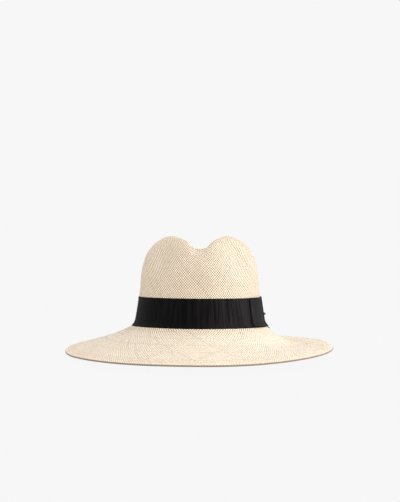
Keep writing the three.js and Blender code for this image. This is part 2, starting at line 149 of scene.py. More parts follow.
def dented(x, y, z):
    """Presses the crease and the two pinches into points of the smooth crown."""
    lengthwise = np.exp(-(np.abs((y - CREASE_MIDDLE) / CREASE_HALF_LENGTH) ** CREASE_LENGTH_POWER))
    widened = smoothstep(CREASE_WIDENS_FROM, CREASE_WIDENS_TO, y)
    width = CREASE_WIDTH_FRONT + (CREASE_WIDTH_BACK - CREASE_WIDTH_FRONT) * widened
    crosswise = np.exp(-(np.abs(x / width) ** CREASE_WIDTH_POWER))
    z = z - CREASE_DEPTH * lengthwise * crosswise * smoothstep(CREASE_START, CREASE_FULL, z)
    for centre_x, centre_y, inward in PINCHES:
        away = (x - centre_x) ** 2 + (y - centre_y) ** 2 + (PINCH_NARROWING * (z - PINCH_HEIGHT)) ** 2
        press = PINCH_DEPTH * np.exp(-away / PINCH_REACH**2)
        x, y = x + inward[0] * press, y + inward[1] * press
    return x, y, z


def crown_point(theta, width, z):
    scale = width / HALF_WIDTH
    nx, ny = oval_normal(theta)
    flare = FLARE * np.clip(1 - z / FLARE_HEIGHT, 0, 1) ** 2
    x = scale * HALF_WIDTH * np.sin(theta) + nx * flare
    y = -scale * HALF_LENGTH * np.cos(theta) + ny * flare
    x, y, z = dented(x, y, z)
    cos, sin = math.cos(CROWN_TILT), math.sin(CROWN_TILT)
    return np.stack([x, y * cos + z * sin + SEAT_SHIFT, z * cos - y * sin + FOOT_HEIGHT], -1)


def brim_point(theta, out):
    zero = np.zeros_like(theta)
    foot = crown_point(theta, HALF_WIDTH + zero, zero)
    front, back = np.clip(np.cos(theta), 0, 1), np.clip(-np.cos(theta), 0, 1)
    bow_side = np.clip(np.sin(theta), 0, 1)
    plain_side = np.clip(-np.sin(theta), 0, 1)
    rim = RIM_LEVEL + FRONT_LIFT * front**END_LIFT_POWER + BACK_LIFT * back**END_LIFT_POWER
    rim += BOW_SIDE_LIFT * bow_side**SIDE_LIFT_POWER + PLAIN_SIDE_LIFT * plain_side**SIDE_LIFT_POWER
    share = out / BRIM
    bend = HOLLOW + BOW_SIDE_HOLLOW * bow_side**SIDE_LIFT_POWER
    fall = share + bend * np.sin(math.pi * share) * (1 - share)
    nx, ny = oval_normal(theta)
    reach = (BRIM - FLARE) * share
    x, y = foot[..., 0] + nx * reach, foot[..., 1] + ny * reach
    return np.stack([x, y, foot[..., 2] + (rim - foot[..., 2]) * fall], -1)


def straw_point(theta, out):
    """The straw's outer face: out is the distance from the tip's middle, along the straw."""
    theta, out = same_shape(theta, out)
    width = np.interp(out, OUTLINE_OUT, OUTLINE_WIDTH)
    height = np.interp(out, OUTLINE_OUT, OUTLINE_HEIGHT)
    crown = crown_point(theta, width, height)
    brim = brim_point(theta, np.clip(out - CROWN, 0, None))
    return np.where((out > CROWN)[..., None], brim, crown)


def straw_normal(theta, out):
    """The way outwards, from the slopes between neighbouring points or, at the tip, across it."""
    theta, out = same_shape(theta, out)
    reach, turn = 0.6, 0.004
    outward = straw_point(theta, out + reach) - straw_point(theta, np.maximum(out - reach, 0))
    around = straw_point(theta + turn, out) - straw_point(theta - turn, out)
    tip = out < reach
    if tip.any():
        quarter = math.pi / 2
        tip_outward = straw_point(theta, reach) - straw_point(theta + 2 * quarter, reach)
        tip_around = straw_point(theta + quarter, reach) - straw_point(theta - quarter, reach)
        outward = np.where(tip[..., None], tip_outward, outward)
        around = np.where(tip[..., None], tip_around, around)
    return unit(np.cross(outward, around))


CROWN_WAVE, WAVES_ROUND, WAVES_START = 0.16, 5, 30.0
WAVE_SLANT, WAVE_SPACING, WAVE_BEND = 0.05, 0.09, 1.3
RIM_WAVES = ((0.2, 3, 0.8), (0.15, 7, 2.1))  # each one's height, count round the hat and phase


def unevenness(theta, out):
    """The hand-made body's slight waves, in millimetres off the blocked shape."""
    slanting = np.sin(WAVES_ROUND * theta + WAVE_SLANT * out)
    bending = np.sin(WAVE_SPACING * out + WAVE_BEND * np.cos(theta))
    crown = CROWN_WAVE * slanting * bending * np.clip(out / WAVES_START, 0, 1)
    rim = sum(height * (1 + np.sin(count * theta + phase)) for height, count, phase in RIM_WAVES)
    share = np.clip((out - CROWN) / BRIM, 0, 1)
    return crown * (1 - share) + share**2 * rim


def on_straw(theta, out, off):
    """A place at a height off the straw, which every other piece lies on."""
    theta, out, off = same_shape(theta, out, off)
    height = off + unevenness(theta, out)
    return straw_point(theta, out) + straw_normal(theta, out) * height[..., None]


def oval_lengths():
    """Distance round the crown's foot from the wearer's left towards the back, against theta."""
    theta = math.pi / 2 + np.linspace(0, TAU, OVAL_STEPS + 1)
    x, y = HALF_WIDTH * np.sin(theta), -HALF_LENGTH * np.cos(theta)
    return theta, running_length(x, y)


OVAL_THETA, OVAL_ALONG = oval_lengths()
OVAL = float(OVAL_ALONG[-1])
BACK = OVAL / 4  # the back's middle


def angle_at(along):
    """The angle theta at a distance round the crown's foot from the wearer's left."""
    turns = np.floor(np.asarray(along, float) / OVAL)
    return np.interp(along - turns * OVAL, OVAL_ALONG, OVAL_THETA) + TAU * turns


def distance_at(turn):
    """Distance round the crown's foot at a share of a turn in theta from the wearer's left."""
    return float(np.interp(math.pi / 2 + TAU * turn, OVAL_THETA, OVAL_ALONG))


def on_crown(along, up, off):
    """A place from a distance round the crown, a distance up it from its foot and a height off it."""
    return on_straw(angle_at(along), CROWN - np.asarray(up, float), off)


# ---- Meshes ----


def closed_volume(points, faces):
    """Volume inside a closed mesh, negative where its faces look inwards."""
    total = 0.0
    for size in {len(face) for face in faces}:
        corners = points[np.array([face for face in faces if len(face) == size])]
        for k in range(1, size - 1):
            total += np.einsum("ij,ij->", corners[:, 0], np.cross(corners[:, k], corners[:, k + 1]))
    return total / 6


def add_object(name, data):
    thing = bpy.data.objects.new(name, data)
    bpy.context.scene.collection.objects.link(thing)
    return thing


def add_piece(name, points, faces, finish, replaced=(), uv=None, values=None):
    """A closed smooth piece. points are in millimetres; uv is (map's name, a pair for each corner of
    each face) and values is (attribute's name, a number for each point)."""
    points = points.reshape(-1, 3)
    faces = [list(face) for face in faces]
    if closed_volume(points, faces) < 0:
        faces = [face[::-1] for face in faces]
        if uv:
            uv = (uv[0], [pairs[::-1] for pairs in uv[1]])
    mesh = bpy.data.meshes.new(name)
    mesh.from_pydata((points * MM).tolist(), [], faces)
    mesh.polygons.foreach_set("use_smooth", np.ones(len(faces), bool))
    if uv:
        pairs = np.array([pair for face in uv[1] for pair in face], np.float32)
        mesh.uv_layers.new(name=uv[0]).data.foreach_set("uv", pairs.ravel())
    if values:
        attribute = mesh.attributes.new(values[0], "FLOAT", "POINT")
        attribute.data.foreach_set("value", np.asarray(values[1], np.float32).ravel())
    mesh.materials.append(finish)
    mesh.update()
    piece = add_object(name, mesh)
    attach(piece, BODY)
    if replaced:
        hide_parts(*replaced)
    return piece


def grid(rows, columns):
    """The quads between rows of points that each close into a ring, and each quad's row and column."""
    row, column = np.meshgrid(np.arange(rows - 1), np.arange(columns), indexing="ij")
    row, column = row.ravel(), column.ravel()
    start, right = row * columns, (column + 1) % columns
    quads = [start + column, start + right, start + columns + right, start + columns + column]
    return np.stack(quads, 1), row, column


# ---- Materials ----


class Finish:
    """A material or a world written as arithmetic: each call adds a node and gives back its output."""

    def __init__(self, name, blocks=bpy.data.materials):
        self.block = blocks.new(name)
        self.block.use_nodes = True
        self.tree = self.block.node_tree
        self.tree.nodes.clear()

    def node(self, kind, inputs, **settings):
        node = self.tree.nodes.new("ShaderNode" + kind)
        for setting, value in settings.items():
            setattr(node, setting, value)
        for socket, value in inputs.items():
            if isinstance(value, bpy.types.NodeSocket):
                self.tree.links.new(value, node.inputs[socket])
            else:
                node.inputs[socket].default_value = value
        return node

    def math(self, operation, *values):
        return self.node("Math", dict(enumerate(values)), operation=operation).outputs[0]

    def times(self, first, second):
        return self.math("MULTIPLY", first, second)

    def linear(self, value, gain, start):
        return self.math("MULTIPLY_ADD", value, gain, start)

    def mix(self, share, first, second):
        """Between two numbers, or between two colours."""
        colours = any(isinstance(x, tuple) or getattr(x, "type", "") == "RGBA" for x in (first, second))
        kind, a, b, out = ("RGBA", 6, 7, 2) if colours else ("FLOAT", 2, 3, 0)  # a Mix node's sockets
        first, second = ((*x, 1.0) if isinstance(x, tuple) else x for x in (first, second))
        return self.node("Mix", {0: share, a: first, b: second}, data_type=kind).outputs[out]

    def fade(self, value, low, high):
        """0 below low, 1 above high and smooth between."""
        inputs = {"Value": value, "From Min": low, "From Max": high}
        return self.node("MapRange", inputs, interpolation_type="SMOOTHSTEP").outputs[0]

    def off_middle(self, fraction):
        """0 at the middle of a fraction's range and 1 at both its ends."""
        return self.math("ABSOLUTE", self.linear(fraction, 2.0, -1.0))

    def about_one(self, value, spread):
        """A value from 0 to 1 as a factor with 1 in the middle of its spread."""
        return self.linear(value, spread, 1 - spread / 2)

    def uv(self, name):
        pair = self.node("UVMap", {}, uv_map=name).outputs[0]
        split = self.node("SeparateXYZ", {0: pair})
        return split.outputs[0], split.outputs[1]

    def attribute(self, name):
        return self.node("Attribute", {}, attribute_name=name).outputs["Fac"]

    def at(self, x, y):
        return self.node("CombineXYZ", {0: x, 1: y}).outputs[0]

    def noise(self, scale, where=None, detail=2.0):
        where = where or self.node("TexCoord", {}).outputs["Object"]
        return self.node("TexNoise", {"Vector": where, "Scale": scale, "Detail": detail}).outputs[0]

    def streaks(self, x, y, x_scale, y_scale, detail):
        """Noise that is stretched by its two scales."""
        where = self.at(self.times(x, x_scale), self.times(y, y_scale))
        return self.noise(1.0, where, detail)

    def random(self, x, y):
        return self.node("TexWhiteNoise", {0: self.at(x, y)}, noise_dimensions="2D").outputs["Value"]

    def multiplied(self, share, colour, factor):
        """A colour times another one. The share is how much of that is done."""
        colour, factor = ((*x, 1.0) if isinstance(x, tuple) else x for x in (colour, factor))
        inputs = {0: share, 6: colour, 7: factor}
        return self.node("Mix", inputs, data_type="RGBA", blend_type="MULTIPLY").outputs[2]

    def brighten(self, colour, factor):
        grey = self.node("CombineColor", {0: factor, 1: factor, 2: factor}).outputs[0]
        return self.multiplied(1.0, colour, grey)

    def surface(self, colour, roughness, height, depth, **constants):
        """Ends the material. depth is the height's scale in millimetres, and constants are the shader's
        other sockets, with an underscore for each space."""
        bump = self.node("Bump", {"Height": height, "Distance": depth * MM, "Strength": 1.0})
        inputs = {"Base Color": colour, "Roughness": roughness, "Normal": bump.outputs[0]}
        inputs.update({socket.replace("_", " "): value for socket, value in constants.items()})
        shader = self.node("BsdfPrincipled", inputs)
        self.node("OutputMaterial", {"Surface": shader.outputs[0]})
        return self.block


# Colours are linear. A spread is how far apart the extremes of a shade are. Depths are in millimetres.
STRAW_PALE = (0.95, 0.85, 0.70)
STRAW_DARK = (0.90, 0.78, 0.62)
STRAW_BROWN = (0.60, 0.42, 0.25)
# The crevice colour below is painted shade, for the crevices between strands and between the edge's twists.
STRAW_CREVICE_SHADE = (0.50, 0.31, 0.17)
# The hole colour below is painted shade: the dark seen through the weave's holes.
STRAW_HOLE_SHADE = (0.13, 0.075, 0.035)
# The edge colour below is painted shade over the rim's twined edge.
STRAW_RIM_SHADE = (0.20, 0.14, 0.09)
# Painted light: the crown's straw is painted brighter and warmer than the brim's by this factor.
CROWN_PAINTED_LIGHT = (1.065, 1.04, 1.01)
BROWN_FROM, BROWN_TO, BROWN_SHARE = 0.92, 0.96, 0.45  # only the strands with the highest draw are brown
RIM_SHADE_FROM, RIM_SHADE_TO, RIM_SHADE_SHARE = 1.0, 1.7, 0.85  # painted shade on the twined edge of the brim
FIBRES_IN_STRAND, FIBRES_APART = 5.0, 9.0
STRAW_BLOTCHES = 22.0
FIBRE_SPREAD, CROSSING_SPREAD, BLOTCH_SPREAD = 0.16, 0.12, 0.1
EDGE_FROM, EDGE_SHADE = 0.45, 0.42  # painted shade in the crevice along a strand's edges
DIVE_FROM, DIVE_SHADE = 0.6, 0.3  # painted shade where a strand goes under the next
HOLE_START, HOLE_FULL = 0.65, 1.25
CROWN_CONTRAST, BRIM_HOLE = 2.2, 0.4  # painted shade, deeper in the crown's crevices, where its inside is dark, and fainter in the brim's holes, over the pale floor
BRIM_LOOK_FROM, BRIM_LOOK_TO = -2.0, 6.0  # cells out from the crown's foot, where its painted shade and painted light change
TWINED_FROM, TWINED_TO, TWIST_SLANT = 0.2, 0.55, 0.7
# The twist shades are painted shade between the twists of the twined edge.
TWIST_SHADE, TWIST_SHADE_MORE = 0.25, 0.6
WEAVE_DEPTH = 0.32
STRAND_ROUNDNESS, STRAND_BEND = 2.4, -0.45
HOLE_DEPTH, FIBRE_DEPTH = 0.5, 0.25  # shares of the weave's depth


def straw_finish():
    """Plain weave on the map "weave": the two ways of strands are the map's two diagonals."""
    f = Finish("woven_straw")
    across, out = f.uv("weave")
    a, b = f.math("ADD", across, out), f.math("SUBTRACT", across, out)
    strand_a, strand_b = f.math("FLOOR", a), f.math("FLOOR", b)
    over = f.math("FLOORED_MODULO", f.math("ADD", strand_a, strand_b), 2.0)
    part_a, part_b = f.math("FRACT", a), f.math("FRACT", b)
    from_edge, from_end = f.mix(over, part_b, part_a), f.mix(over, part_a, part_b)
    to_edge, to_end = f.off_middle(from_edge), f.off_middle(from_end)
    index = f.mix(over, strand_b, strand_a)
    run = f.mix(over, a, b)

    strand = f.random(index, over)
    crossing = f.random(strand_a, strand_b)
    crosswise = f.times(from_edge, FIBRES_IN_STRAND)
    crosswise = f.math("ADD", crosswise, f.times(index, FIBRES_APART))
    fibres = f.noise(1.0, f.at(crosswise, run), 3.0)
    blotches = f.noise(STRAW_BLOTCHES)

    ring = f.attribute("ring")
    twined = f.fade(ring, TWINED_FROM, TWINED_TO)
    twist = f.math("FRACT", f.math("ADD", across, f.times(ring, TWIST_SLANT)))
    to_twist = f.off_middle(twist)

    to_end_squared = f.math("POWER", to_end, 2.0)
    corner = f.math("ADD", f.math("POWER", to_edge, 2.0), to_end_squared)
    hole = f.fade(corner, HOLE_START, HOLE_FULL)
    # Painted shade: the strands' edges and the places where they go under are darkened in colour.
    edge = f.times(f.fade(to_edge, EDGE_FROM, 1.0), EDGE_SHADE)
    dive_shade = f.times(f.fade(to_end, DIVE_FROM, 1.0), DIVE_SHADE)
    brim = f.fade(out, FOOT_COUNT + BRIM_LOOK_FROM, FOOT_COUNT + BRIM_LOOK_TO)
    crevice_shade = f.times(f.math("MAXIMUM", edge, dive_shade), f.mix(brim, CROWN_CONTRAST, 1.0))
    hole = f.times(hole, f.mix(brim, 1.0, BRIM_HOLE))

    straw = f.mix(f.fade(strand, 0.0, 1.0), STRAW_DARK, STRAW_PALE)
    straw = f.mix(f.times(f.fade(strand, BROWN_FROM, BROWN_TO), BROWN_SHARE), straw, STRAW_BROWN)
    shade = f.times(f.about_one(fibres, FIBRE_SPREAD), f.about_one(crossing, CROSSING_SPREAD))
    shade = f.times(shade, f.about_one(blotches, BLOTCH_SPREAD))
    straw = f.brighten(straw, shade)
    # Painted light on the crown's straw.
    straw = f.multiplied(f.math("SUBTRACT", 1.0, brim), straw, CROWN_PAINTED_LIGHT)
    woven = f.mix(crevice_shade, straw, STRAW_CREVICE_SHADE)
    # Painted shade in the holes at the strands' corners; the same mask also lowers the bump.
    woven = f.mix(hole, woven, STRAW_HOLE_SHADE)
    # Painted shade between the twists, and over the rim's edge as a whole.
    twist_shade = f.linear(f.fade(to_twist, 0.5, 1.0), TWIST_SHADE_MORE, TWIST_SHADE)
    colour = f.mix(twined, woven, f.mix(twist_shade, straw, STRAW_CREVICE_SHADE))
    colour = f.mix(f.times(f.fade(ring, RIM_SHADE_FROM, RIM_SHADE_TO), RIM_SHADE_SHARE), colour, STRAW_RIM_SHADE)

    round_strand = f.math("SUBTRACT", 1.0, f.math("POWER", to_edge, STRAND_ROUNDNESS))
    bent_strand = f.linear(to_end_squared, STRAND_BEND, 1.0)
    height = f.times(round_strand, bent_strand)
    height = f.math("SUBTRACT", height, f.times(hole, HOLE_DEPTH))
    height = f.linear(fibres, FIBRE_DEPTH, height)
    height = f.mix(twined, height, f.math("SUBTRACT", 1.0, f.math("POWER", to_twist, 2.0)))
    roughness = f.linear(strand, 0.2, 0.5)
    return f.surface(colour, roughness, height, WEAVE_DEPTH, Specular_IOR_Level=0.5)


RIBBON_BLACK = (0.0029, 0.0026, 0.0026)
YARN_SPREAD, RIBBON_PATCHES, RIBBON_PATCH_SPREAD = 0.8, 60.0, 0.3
GLINT_FROM, GLINT_TO, GLINT_DARKEST, GLINT_GAIN = 0.35, 0.68, 0.5, 1.7  # painted highlight: paler stripes across the ribbon stand for glints on its ribs
PAINTED_LIGHT_GAIN = 2.3  # painted light: how much is added near the bow, where the attribute is 1
YARN_DEPTH, STREAK_HEIGHT, YARN_LINE_HEIGHT = 0.05, 5.0, 0.25
RIBBON_GLOSS = 0.04


def grosgrain_finish():
    """Fine lengthwise yarns over the ribs, which are in the mesh. The map "yarn" is in millimetres."""
    f = Finish("black_grosgrain")
    along, across = f.uv("yarn")
    yarns = f.streaks(along, across, 1.3, 7.0, 3.0)
    line = f.math("SINE", f.times(across, TAU / YARN))
    patches = f.noise(RIBBON_PATCHES)
    shade = f.times(f.about_one(yarns, YARN_SPREAD), f.about_one(patches, RIBBON_PATCH_SPREAD))
    colour = f.brighten(RIBBON_BLACK, shade)
    # Painted highlight: glints on the ribs as paler stripes in the colour; the same stripes also raise the
    # bump.
    streaks = f.streaks(along, across, 0.7, 0.02, 2.0)
    painted_glints = f.linear(f.fade(streaks, GLINT_FROM, GLINT_TO), GLINT_GAIN, GLINT_DARKEST)
    colour = f.brighten(colour, painted_glints)
    # Painted light: the ribbon is paler towards the bow.
    colour = f.brighten(colour, f.linear(f.attribute("painted_light"), PAINTED_LIGHT_GAIN, 1.0))
    height = f.linear(line, YARN_LINE_HEIGHT, yarns)
    height = f.linear(streaks, STREAK_HEIGHT, height)
    roughness = f.linear(yarns, 0.2, 0.5)
    return f.surface(colour, roughness, height, YARN_DEPTH, Specular_IOR_Level=RIBBON_GLOSS)


THREAD_BLACK = (0.006, 0.0055, 0.006)
THREAD_STRAW = (0.80, 0.66, 0.46)
THREAD_FIBRES, THREAD_PATCHES = 2500.0, 300.0
THREAD_FIBRE_SPREAD, THREAD_PATCH_SPREAD, THREAD_DEPTH = 0.5, 0.2, 0.06


def thread_finish(name, colour):
    """Spun thread: fine streaks of fibre."""
    f = Finish(name)
    fibres = f.noise(THREAD_FIBRES, None, 3.0)
    patches = f.about_one(f.noise(THREAD_PATCHES), THREAD_PATCH_SPREAD)
    shade = f.times(f.about_one(fibres, THREAD_FIBRE_SPREAD), patches)
    roughness = f.linear(fibres, 0.2, 0.6)
    return f.surface(f.brighten(colour, shade), roughness, fibres, THREAD_DEPTH, Sheen_Weight=0.1)


STEEL_PALE, STEEL_DULL = (0.62, 0.63, 0.65), (0.42, 0.43, 0.45)
BRASS_BROWN, BRASS_DARK = (0.16, 0.145, 0.085), (0.06, 0.058, 0.04)
PATINA, SCRATCHES, SCRATCH_DEPTH = 900.0, 6000.0, 0.01


def metal_finish(name, colour, dark, roughness):
    """Drawn or pressed metal with a slight patina and fine scratches."""
    f = Finish(name)
    patina = f.fade(f.noise(PATINA, None, 4.0), 0.35, 0.7)
    scratches = f.noise(SCRATCHES)
    rough = f.linear(patina, 0.2, roughness)
    return f.surface(f.mix(patina, colour, dark), rough, scratches, SCRATCH_DEPTH, Metallic=1.0)


SATIN_IVORY = (0.86, 0.82, 0.73)
SATIN_WARP, SATIN_SPREAD, SATIN_DEPTH = 0.22, 0.2, 0.02


def satin_finish():
    """Label satin: a very fine close weave, on the map "yarn"."""
    f = Finish("ivory_satin")
    along, across = f.uv("yarn")
    warp = f.math("SINE", f.times(across, TAU / SATIN_WARP))
    floats = f.streaks(along, across, 2.0, 9.0, 2.0)
    colour = f.brighten(SATIN_IVORY, f.about_one(floats, SATIN_SPREAD))
    height = f.linear(warp, 0.3, floats)
    roughness = f.linear(floats, 0.2, 0.3)
    return f.surface(colour, roughness, height, SATIN_DEPTH, Sheen_Weight=0.2)


# ---- The straw body, with the weave's own coordinates ----
# The straw is woven outwards from a small square at the tip. More strands are added at each ring, so
# that the cells keep their size while the hat gets wider. The map "weave" counts cells: x round the
# hat and y out along the straw.

CELL = 3.4  # a cell of the weave, round the hat
SQUARE = 12.0  # out to here the straw is the square where the weaving starts
GROWTH = 8 / 7  # each ring has this many times the strands of the one inside it
FOOT_CELLS = 168
RIDGE_HALF, RIDGE_RISE = 0.7, 0.15
TURNS = 288  # the mesh's steps round the hat
ROW = 2.2  # the mesh's longest step out along the straw
SQUARE_ROWS = 6
MEASURING_STEPS = 4000
BEAD = CHANNEL + STRAW  # radius of the fold at the rim, round the wire
EDGE_ROWS, CHANNEL_ROWS = 10, 6
FLAP_CORNER = 0.15
INNER_RIDGE = 0.4  # the ridges inside, as a share of those outside
TWINED_RING, TWINED_START = 2.0, 0.5  # the attribute "ring" on the twined edge and at its first row


def girth(out):
    """Length round the hat at a distance out from the tip, before creasing."""
    width = np.interp(out, OUTLINE_OUT, OUTLINE_WIDTH)
    share = np.clip((np.asarray(out) - CROWN) / BRIM, 0, None)
    return OVAL * width / HALF_WIDTH + TAU * (BRIM - FLARE) * share


def weave_rings():
    """(end, cells round) of each ring of the weave, outwards from the square."""
    out = np.linspace(0, RIM, MEASURING_STEPS + 1)
    widest = CELL * math.sqrt(GROWTH)
    counts = [FOOT_CELLS]
    while counts[0] * widest > girth(SQUARE):
        counts.insert(0, round(counts[0] / GROWTH))
    while counts[-1] * widest < girth(RIM):
        counts.append(round(counts[-1] * GROWTH))
    rings, start = [], SQUARE
    for cells in counts[:-1]:
        end = float(np.interp(cells * widest, girth(out), out))
        if end > start + 2 * RIDGE_HALF:
            rings.append((end, cells))
            start = end
    return rings + [(RIM - BEAD, counts[-1])]


class WeaveRows:
    """The mesh's rows out along the straw, with the weave's count of cells at both sides of each strip
    between two rows and the height of the ridge at each row."""

    def __init__(self):
        self.out, self.ridge, self.cells, self.low, self.high = [0.0], [0.0], [], [], []
        self.step_to(SQUARE, SQUARE_ROWS, 0)
        self.ridge[-1] = 1.0
        for end, cells in weave_rings():
            last = end == RIM - BEAD
            stop = end if last else end - RIDGE_HALF
            self.step_to(self.out[-1] + RIDGE_HALF, 1, cells)
            self.step_to(stop, math.ceil((stop - self.out[-1]) / ROW), cells)
            if not last:
                self.step_to(end, 1, cells)
                self.ridge[-1] = 1.0

    def step_to(self, end, count, cells):
        for out in np.linspace(self.out[-1], end, count + 1)[1:]:
            start = self.out[-1]
            low = self.high[-1] if self.high else 0.0
            growth = (out - start) * cells / float(girth((start + out) / 2))
            self.cells.append(cells)
            self.low.append(low)
            self.high.append(low + growth)
            self.out.append(float(out))
            self.ridge.append(0.0)


def rim_fold():
    """The profile from the outer face's last row round the rim, the hem and the channel for the wire
    to the inner face's first row, as (distance out, height off the straw)."""
    bead = RIM - BEAD
    hem_edge, hem_neck, hem_middle = bead - HEM, bead - 2 * BEAD, bead - 0.7 * HEM
    flap_top = -STRAW - HEM_SLIT
    flap_under = flap_top - STRAW

    def arc(radius, start, end, count):
        angle = np.radians(np.linspace(start, end, count))
        return np.stack([bead + radius * np.cos(angle), -BEAD + radius * np.sin(angle)], 1)

    half_flap = [(hem_neck, 0), (hem_middle, 0), (hem_edge + FLAP_CORNER, 0), (hem_edge, FLAP_CORNER)]
    flap = [(out, flap_under + corner) for out, corner in half_flap]
    flap += [(out, flap_top - corner) for out, corner in half_flap[::-1]]
    return np.concatenate([arc(BEAD, 72, -90, EDGE_ROWS), flap, arc(CHANNEL, -90, 45, CHANNEL_ROWS)])


def weave_map(far, cells, low, high, row, column):
    """The corners of each quad on the map "weave". In the square, cells are counted from the tip."""
    share = np.stack([column, column + 1, column + 1, column], 1) / TURNS - 0.5
    from_tip = far[np.stack([row, row, row + 1, row + 1], 1)] * math.sqrt(2) / CELL
    x, y = from_tip * np.sin(TAU * share), from_tip * np.cos(TAU * share)
    in_square = (cells[row] == 0)[:, None]
    across = np.where(in_square, (x + y) / 2, share * cells[row][:, None])
    out = np.stack([low[row], low[row], high[row], high[row]], 1)
    return np.stack([across, np.where(in_square, (x - y) / 2, out)], -1)


def closed_at_tip(quads, pairs, count):
    """The first and last rows as single points, where the quads become triangles: the points to keep,
    the faces and their places on the map."""
    index = np.arange(count)
    index[:TURNS] = 0
    index[-TURNS:] = count - TURNS
    kept, renumbered = np.unique(index, return_inverse=True)
    faces, uvs = [], []
    for quad, uv in zip(renumbered[quads].tolist(), pairs.tolist()):
        corners = [k for k in range(4) if quad[k] != quad[k - 1]]
        faces.append([quad[k] for k in corners])
        uvs.append([uv[k] for k in corners])
    return kept, faces, uvs


def straw_body(finish):
    """Crown, brim and hem as one skin: the profile goes out over the top and back in below."""
    rows, fold = WEAVE_ROWS, rim_fold()
    out, ridge = np.array(rows.out), np.array(rows.ridge)
    outer = np.stack([out, RIDGE_RISE * ridge], 1)
    inner = np.stack([out, -STRAW - INNER_RIDGE * RIDGE_RISE * ridge], 1)[::-1]
    profile = np.concatenate([outer, fold, inner])
    far, off = profile.T
    theta = -math.pi + TAU * np.arange(TURNS) / TURNS
    points = on_straw(theta, far[:, None], off[:, None]).reshape(-1, 3)
    quads, row, column = grid(len(profile), TURNS)

    # How many cells round and out each strip of the profile has.
    fold_line = profile[len(out) - 1 : len(out) + len(fold) + 1]
    fold_count = rows.high[-1] + running_length(*fold_line.T) / CELL
    cells = np.concatenate([rows.cells, [rows.cells[-1]] * (len(fold) + 1), rows.cells[::-1]])
    low = np.concatenate([rows.low, fold_count[:-1], rows.high[::-1]])
    high = np.concatenate([rows.high, fold_count[1:], rows.low[::-1]])
    pairs = weave_map(far, cells, low, high, row, column)
    kept, faces, uvs = closed_at_tip(quads, pairs, len(points))

    # The fold's outside is a twined edge, and its values here also set the painted shade on it.
    edge = np.where(np.arange(len(fold)) < EDGE_ROWS, TWINED_RING, 0.0)
    edge[0] = TWINED_START
    ring = np.repeat(np.concatenate([ridge, edge, ridge[::-1]]), TURNS)[kept]
    uv, values = ("weave", uvs), ("ring", ring)
    add_piece("woven_straw_body", points[kept], faces, finish, ["straw_body"], uv, values)


# ---- Ribbons ----

RIB, YARN = 1.1, 0.36  # from one rib of the grosgrain, or one yarn, to the next
RIB_RISE, RIB_STEPS = 0.07, 4
SCALLOP = 0.12  # how far the ribbon's edges go in between its ribs
GAP, RIBBON = 0.1, 0.4  # the air under each layer, and the ribbon's thickness
LAYER = GAP + RIBBON
BAND_LEVEL = GAP + RIBBON / 2
TAIL_LEVEL, LOOP_LEVEL, KNOT_LEVEL = (BAND_LEVEL + LAYER * k for k in (1, 2, 3))
SWEATBAND = 0.8  # its thickness
SWEATBAND_LEVEL = -STRAW - GAP - SWEATBAND / 2
PATCH_LEVEL = SWEATBAND_LEVEL - SWEATBAND / 2 - GAP - RIBBON / 2
JOINT_GAP = 0.3
FILLET_UPS = (3.5, 6.5, 10.5)
FOOT_UPS = (0.0, 1.2, 2.4, 5.0, 8.5)
UP_STEP, LEAST_UP_STEP, EDGE_STEP = 4.5, 0.5, 0.35
RING_POINTS, RUN_POINTS, FOLD_POINTS, WIDTH_POINTS = 721, 25, 13, 9


def up_steps(low, high):
    """Heights up the crown from low to high, close together where the crown spreads at its foot."""
    fine = [up for up in (*FOOT_UPS, *FILLET_UPS) if low + LEAST_UP_STEP < up < high - LEAST_UP_STEP]
    start = max([low, *fine])
    coarse = np.linspace(start, high, math.ceil((high - start) / UP_STEP) + 1)
    edges = [low + EDGE_STEP, high - EDGE_STEP]
    return np.array(sorted({low, *fine, *coarse.tolist(), *edges}))


def rib_line(points):
    """A line through (travel, off) points as even steps of a share of a rib, with its own length."""
    points = np.asarray(points, float)
    length = running_length(*points.T)
    ribs = max(1, round(length[-1] / RIB))
    run = np.linspace(0, length[-1], ribs * RIB_STEPS + 1)
    return np.stack([np.interp(run, length, points[:, k]) for k in (0, 1)], 1), run


LIT_NEAR, LIT_FAR = 105.0, 160.0  # distances round the crown from the bow's side, where the painted light fades out


def painted_light_share(travel, off):
    """Painted light: the ribbon outside the hat is paler near the bow, on its lit side: 1 there and 0 far
    round the crown.
    """
    from_bow = np.abs((travel + OVAL / 2) % OVAL - OVAL / 2)
    return (off > 0) * (1 - smoothstep(LIT_NEAR, LIT_FAR, from_bow))


def ribbon_faces(run, widths):
    """The faces of a ribbon with its rows of points round it, and their places on the map "yarn"."""
    columns = 2 * len(widths)
    quads, row, column = grid(len(run), columns)
    across = np.concatenate([widths, widths[::-1]])
    right = (column + 1) % columns
    u = np.stack([run[row], run[row], run[row + 1], run[row + 1]], 1)
    v = np.stack([across[column], across[right], across[right], across[column]], 1)
    faces, uvs = quads.tolist(), np.stack([u, v], -1).tolist()
    for end in (0, len(run) - 1):
        start = end * columns
        for k in range(len(widths) - 1):
            cap = [start + k, start + columns - 1 - k, start + columns - 2 - k, start + k + 1]
            faces.append(cap[::-1] if end else cap)
            uvs.append([[run[end], across[corner - start]] for corner in faces[-1]])
    return faces, uvs


